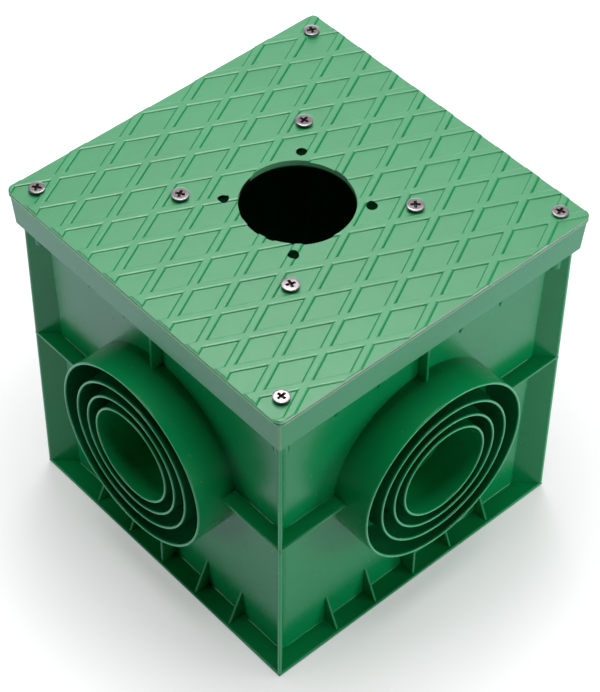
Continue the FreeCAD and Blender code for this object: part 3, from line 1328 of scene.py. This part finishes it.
@dataclass
class CrossScrews(Piece):
    """Four flat-head screws with a cross recess and a coarse thread.

    Their turns are in degrees, in the order of square_places.
    """

    place: float
    turns: tuple[float, float, float, float]
    seat_height: float = LID_TOP
    length: float = 38.0 * MM
    shank: float = 2.4 * MM
    core: float = 1.75 * MM
    tip_share: float = 0.35
    tip_length: float = 2.2 * MM
    neck_low: float = 2.0 * MM
    neck_high: float = 1.6 * MM
    seat_radius: float = 3.4 * MM
    head: float = 5.1 * MM
    head_top: float = 252.9 * MM
    head_edge: float = 0.8 * MM
    head_steps: int = 48
    edge_rounding: float = 0.35 * MM
    edge_steps: int = 3
    dome: float = 0.03 * MM
    dome_steps: int = 4
    cross_reach: float = 3.1 * MM
    cross_width: float = 1.9 * MM
    cross_depth: float = 1.8 * MM
    slot_taper: float = 0.5
    slot_narrowing: float = 0.6
    over: float = 0.1 * MM
    pitch: float = 1.8 * MM
    thread_start: float = 2.0 * MM
    thread_end: float = 3.0 * MM
    thread_half: float = 0.45 * MM
    thread_root: float = 0.9
    thread_steps: int = 16
    smooth_below: float = math.radians(28)

    @property
    def crown(self) -> float:
        """The height of the head over its seat."""
        return self.head_top - self.seat_height

    def body(self) -> BMesh:
        """Make the turned head and shank, standing on the Z axis with its seat at 0.

        Returns:
            The new mesh.
        """
        top = self.crown - self.dome
        low = self.crown - self.head_edge
        outline = [
            (0.0, -self.length),
            (self.core * self.tip_share, -self.length),
            (self.core, -self.length + self.tip_length),
            (self.core, -self.neck_low),
            (self.shank, -self.neck_high),
            (self.shank, 0.0),
            (self.seat_radius, 0.0),
            (self.head - self.edge_rounding / 2, low),
            (self.head, low + self.edge_rounding / 2),
        ]
        for step in range(self.edge_steps + 1):
            angle = step / self.edge_steps * QUARTER
            radius = self.head - self.edge_rounding * (1 - math.cos(angle))
            outline.append((radius, top - self.edge_rounding * (1 - math.sin(angle))))
        for step in range(self.dome_steps - 1, 0, -1):
            share = step / self.dome_steps
            outline.append((self.head * share, self.crown - self.dome * share * share))
        outline.append((0.0, self.crown))
        return lathe(outline, self.head_steps)

    def slot_cutter(self, turn: float) -> BMesh:
        """Make the tapering bar that cuts one slot of the cross.

        Args:
            turn: the angle that the bar is turned by.

        Returns:
            The new mesh.
        """
        low = self.crown - self.cross_depth
        half = self.cross_width / 2
        bar = box((-self.cross_reach, -half, low), (self.cross_reach, half, self.crown + self.over))
        for vert in bar.verts:
            if vert.co.z < low + TINY:
                vert.co.x *= self.slot_taper
                vert.co.y *= self.slot_narrowing
        bmesh.ops.rotate(bar, cent=(0, 0, 0), matrix=Matrix.Rotation(turn, 3, "Z"), verts=bar.verts[:])
        return bar

    def thread(self) -> BMesh:
        """Make the closed helical ridge round the core.

        Returns:
            The new mesh.
        """
        ridge = bmesh.new()
        turns = int((self.length - self.thread_start - self.thread_end) / self.pitch)
        start = -self.length + self.thread_start
        root = self.core * self.thread_root
        corners = ((root, -self.thread_half), (self.shank, 0.0), (root, self.thread_half))
        face = ridge.faces.new([ridge.verts.new((r, 0.0, start + z)) for r, z in corners])
        bmesh.ops.spin(
            ridge,
            geom=[face],
            cent=(0, 0, 0),
            axis=Axis.Z.value,
            dvec=(0, 0, self.pitch / self.thread_steps),
            angle=2 * math.pi * turns,
            steps=turns * self.thread_steps,
            use_merge=False,
        )
        bmesh.ops.recalc_face_normals(ridge, faces=ridge.faces[:])
        return ridge

    def in_cross(self, face: BMFace) -> bool:
        """Tell whether a face lies inside the cross recess.

        Args:
            face: a face of the body.

        Returns:
            True where it does.
        """
        centre = face.calc_center_median()
        low = self.crown - self.cross_depth - TINY
        return centre.xy.length < self.cross_reach and low < centre.z < self.crown - 3 * self.dome

    def build(self) -> bpy.types.Object:
        """Build the four screws and put them in the scene.

        Returns:
            The new object.
        """
        body = self.body()
        for turn in (0.0, QUARTER):
            body = carve(body, self.slot_cutter(turn), Carving.OUTSIDE)
        mark(body, Mark.GRIME_AND_SHADE, 1.0, self.in_cross)
        for edge in body.edges:
            edge.smooth = edge_angle(edge) < self.smooth_below
        fold_in(body, self.thread())
        whole = bmesh.new()
        for (x, y), turn in zip(square_places(self.place), self.turns):
            at = Matrix.Translation((x, y, self.seat_height))
            fold_in(whole, copy_of(body, at @ Matrix.Rotation(math.radians(turn), 4, "Z")))
        body.free()
        return self.seat(whole)


@dataclass
class BackingPlate:
    """The hidden plate under the lid, shown as the CAD node itself."""

    node: str
    slot: Slot
    material: bpy.types.Material

    def dress(self) -> bpy.types.Object:
        """Give the node its material.

        Returns:
            The node.
        """
        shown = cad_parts[self.node]
        shown.data.materials.clear()
        shown.data.materials.append(self.material)
        LOG.info("%s: %d faces", self.node, len(shown.data.polygons))
        return shown


# Surroundings

LID_MIDDLE = (0.0, 0.0, 0.25)
BOX_MIDDLE = (0.0, 0.0, 0.15)
FRONT_HEAD = (0.109, -0.109, 0.253)


@dataclass(frozen=True)
class Softbox:
    """A square area light: where it hangs, the point it faces, its side and its radiance.

    A white surface that sees nothing but a radiance of 1 renders as plain white.
    """

    name: str
    at: Place
    aim: Place
    size: float
    radiance: float

    def hang(self) -> None:
        """Put the light in the scene."""
        data = bpy.data.lights.new(self.name, "AREA")
        data.shape = "SQUARE"
        data.size = self.size
        data.energy = self.radiance * math.pi * self.size * self.size
        lamp = bpy.data.objects.new(self.name, data)
        lamp.location = self.at
        lamp.rotation_euler = (Vector(self.aim) - Vector(self.at)).to_track_quat("-Z", "Y").to_euler()
        bpy.context.scene.collection.objects.link(lamp)


@dataclass
class Studio:
    """The white table, the soft lights and the camera.

    The table has one colour for light that bounces off it, one for the camera and one for
    reflections, which paints what the box reflects. It glows a little to the last two, more so
    away from the box: painted light that leaves the floor and its reflections darker round the box.
    """

    table_half: float = 6.0
    table_drop: float = 0.2 * MM
    bounce_colour: Colour = (0.55, 0.56, 0.57)
    seen_colour: Colour = (0.68, 0.68, 0.69)
    mirror_colour: Colour = (0.58, 0.62, 0.71)
    seen_glow: Colour = (1.0, 1.0, 1.0)
    mirror_glow: Colour = (0.93, 1.0, 1.14)
    glow: Range = (0.39, 0.85)
    glow_reach: Range = (0.19, 0.52)
    glow_centre: Place = (-0.03, 0.03, 0.0)
    paper_scale: float = 6.0
    paper_detail: float = 2.0
    paper_shade: float = 0.985
    sky: float = 0.005
    sky_colour: Colour = (0.95, 0.97, 1.0)
    softboxes: tuple[Softbox, ...] = (
        Softbox("glint_softbox", (-0.753, 0.653, 1.62), FRONT_HEAD, 0.26, 5.0),
        Softbox("key_softbox", (-0.662, 0.596, 2.095), LID_MIDDLE, 1.2, 2.5),
        Softbox("back_softbox", (-1.7, 1.7, 0.93), LID_MIDDLE, 1.6, 2.0),
        Softbox("overhead_softbox", (0.0, 0.0, 2.0), BOX_MIDDLE, 1.0, 7.7),
        Softbox("right_softbox", (1.613, 1.13, 0.347), BOX_MIDDLE, 0.8, 6.2),
        Softbox("right_front_softbox", (1.97, 0.0, 0.347), BOX_MIDDLE, 0.8, 3.95),
        Softbox("left_softbox", (-0.832, -1.785, 0.347), BOX_MIDDLE, 0.8, 3.55),
    )
    camera_at: Place = (0.73934, -0.66887, 1.21416)
    camera_turn: Place = (0.741165, -0.008229, 0.841930)
    focal_px: float = 2352.1
    long_side_px: float = 692.0
    sensor_mm: float = 36.0
    clip: Range = (0.05, 50.0)

    def paper(self) -> bpy.types.Material:
        """Make the table's white finish, which keeps the box's shadow.

        Returns:
            The material.
        """
        material = bpy.data.materials.new("white_table")
        material.use_nodes = True
        graph = Graph(material.node_tree)
        nodes = material.node_tree.nodes
        nodes.remove(nodes["Principled BSDF"])
        rays = graph.add("ShaderNodeLightPath").outputs
        mirrored = rays["Is Glossy Ray"]
        seen = graph.combine(Operation.LARGER, rays["Is Camera Ray"], mirrored)
        seen = graph.combine(Operation.LARGER, seen, rays["Is Transmission Ray"])
        matt = graph.add("ShaderNodeBsdfDiffuse")
        mottle = graph.add("ShaderNodeTexNoise", Scale=self.paper_scale, Detail=self.paper_detail)
        shaded = [part * self.paper_shade for part in self.seen_colour]
        tint = graph.blend(mottle.outputs["Fac"], self.seen_colour, shaded)
        tint = graph.blend(mirrored, tint, self.mirror_colour)
        graph.join(graph.blend(seen, self.bounce_colour, tint), matt.inputs["Color"])
        white = graph.add("ShaderNodeEmission")
        graph.join(graph.blend(mirrored, self.seen_glow, self.mirror_glow), white.inputs["Color"])
        # Painted light: the glow grows with the distance from glow_centre, so the floor stays darker round
        # the box.
        away = graph.add("ShaderNodeVectorMath")
        away.operation = "DISTANCE"
        away.inputs[1].default_value = self.glow_centre
        graph.join(graph.add("ShaderNodeTexCoord").outputs["Object"], away.inputs[0])
        glow = graph.ramp(away.outputs["Value"], self.glow_reach, self.glow)
        graph.join(graph.combine(Operation.PRODUCT, seen, glow), white.inputs["Strength"])
        both = graph.add("ShaderNodeAddShader")
        graph.join(matt.outputs["BSDF"], both.inputs[0])
        graph.join(white.outputs["Emission"], both.inputs[1])
        graph.join(both.outputs["Shader"], nodes["Material Output"].inputs["Surface"])
        return material

    def table(self) -> None:
        """Lay the table top."""
        material = self.paper()
        part = bmesh.new()
        place = Matrix.Translation((0, 0, -self.table_drop))
        bmesh.ops.create_grid(part, x_segments=1, y_segments=1, size=self.table_half, matrix=place)
        to_object("table_top", part, material)

    def lights(self) -> None:
        """Hang the lights and set the sky."""
        world = bpy.data.worlds.new("studio")
        world.use_nodes = True
        ground = world.node_tree.nodes["Background"]
        ground.inputs["Color"].default_value = (*self.sky_colour, 1.0)
        ground.inputs["Strength"].default_value = self.sky
        bpy.context.scene.world = world
        for softbox in self.softboxes:
            softbox.hang()

    def camera(self) -> None:
        """Set the camera at the photograph's angle."""
        data = bpy.data.cameras.new("camera")
        data.sensor_fit = "AUTO"
        data.sensor_width = self.sensor_mm
        data.lens = self.focal_px / self.long_side_px * self.sensor_mm
        data.clip_start, data.clip_end = self.clip
        made = bpy.data.objects.new("camera", data)
        made.location = self.camera_at
        made.rotation_euler = self.camera_turn
        bpy.context.scene.collection.objects.link(made)
        bpy.context.scene.camera = made

    def build(self) -> None:
        """Set up the whole studio."""
        self.table()
        self.lights()
        self.camera()
        bpy.context.scene.view_settings.view_transform = "Standard"


def main() -> None:
    """Build every piece, then the studio round it."""
    logging.basicConfig(level=logging.INFO, format="%(name)s: %(message)s")
    chamber_green = GreenPlastic("chamber_green", specular=0.35).build()
    frame_green = GreenPlastic("frame_green", specular=0.4).build()
    lid_green = GreenPlastic(
        "lid_green",
        colour=(0.0024, 0.308, 0.0905),
        cloud=(0.0037, 0.281, 0.083),
        pale=(0.36, 0.42, 0.30),
        roughness=0.40,
        specular=1.0,
        index=1.57,
        grain=1.6,
    ).build()
    backing_green = GreenPlastic("backing_green", roughness=0.4).build()
    zinc = ZincPlate().build()
    Chamber("chamber", "chamber_body", Slot.CHAMBER, chamber_green).build()
    CoverFrame("frame_ring", "cover_frame", Slot.FRAME, frame_green).build()
    LatticeLid("lattice_lid", "lid_plate", Slot.LID, lid_green).build()
    BackingPlate("backing_plate", Slot.BACKING, backing_green).dress()
    CrossScrews(
        "corner_screw_set",
        "corner_screws",
        Slot.SCREW,
        zinc,
        place=CORNER_SCREWS,
        turns=(38.0, 65.0, 5.0, 20.0),
    ).build()
    CrossScrews(
        "inner_screw_set",
        "inner_screws",
        Slot.SCREW,
        zinc,
        place=INNER_SCREWS,
        turns=(33.0, 12.0, 71.0, 50.0),
        seat_height=249.8 * MM,
        length=13.0 * MM,
        head=5.5 * MM,
    ).build()
    Studio().build()


if __name__ == "__main__":
    main()
